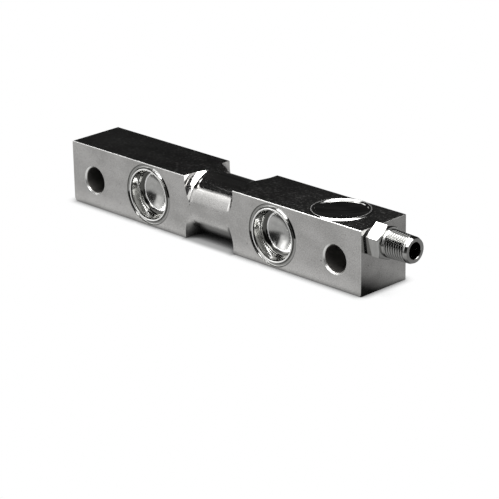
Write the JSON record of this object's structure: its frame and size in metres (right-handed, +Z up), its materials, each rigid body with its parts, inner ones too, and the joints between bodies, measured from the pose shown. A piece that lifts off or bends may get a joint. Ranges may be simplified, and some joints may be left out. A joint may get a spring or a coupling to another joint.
{
  "type": "double ended beam load cell",
  "caption": "Steel load cell beam with cross holes at both ends, a turned neck in the middle, welded gauge pockets and a threaded cable entry.",
  "frame": {"origin": "centre of the turned neck, where the load is hung", "axes": "+X along the beam towards the cable entry, -Y the front face, +Z up, with the circuit cover on top"},
  "size_m": [0.227, 0.0328, 0.0355],
  "materials": {
    "ground_steel": "fine ground and nickel plated",
    "polished_steel": "polished",
    "bright_steel": "bright turned",
    "black_rubber": "matt",
    "gauge_film": "polyimide film",
    "circuit_laminate": "satin",
    "wire_insulation": "satin",
    "adhesive_foam": "matt",
    "resistor_lacquer": "gloss",
    "sealing_glass": "fused",
    "gilt_brass": "plated"
  },
  "bodies": {
    "root": {"beam_body": "ground_steel", "board_pad": "adhesive_foam", "bridge_harness": "wire_insulation", "circuit_board": "circuit_laminate", "circuit_cover": "polished_steel", "conduit_adapter": "bright_steel", "feedthrough_glass": "sealing_glass", "feedthrough_pins": "gilt_brass", "feedthrough_shell": "bright_steel", "front_left_seal_cup": "polished_steel", "front_left_strain_gauge": "gauge_film", "front_left_terminal_strip": "circuit_laminate", "front_right_seal_cup": "polished_steel", "front_right_strain_gauge": "gauge_film", "front_right_terminal_strip": "circuit_laminate", "left_web_leads": "wire_insulation", "modulus_resistor": "resistor_lacquer", "output_leads": "wire_insulation", "rear_left_seal_cup": "polished_steel", "rear_left_strain_gauge": "gauge_film", "rear_left_terminal_strip": "circuit_laminate", "rear_right_seal_cup": "polished_steel", "rear_right_strain_gauge": "gauge_film", "rear_right_terminal_strip": "circuit_laminate", "right_web_leads": "wire_insulation", "sealing_washer": "black_rubber", "span_resistor": "resistor_lacquer", "zero_resistor": "resistor_lacquer"}
  },
  "joints": []
}
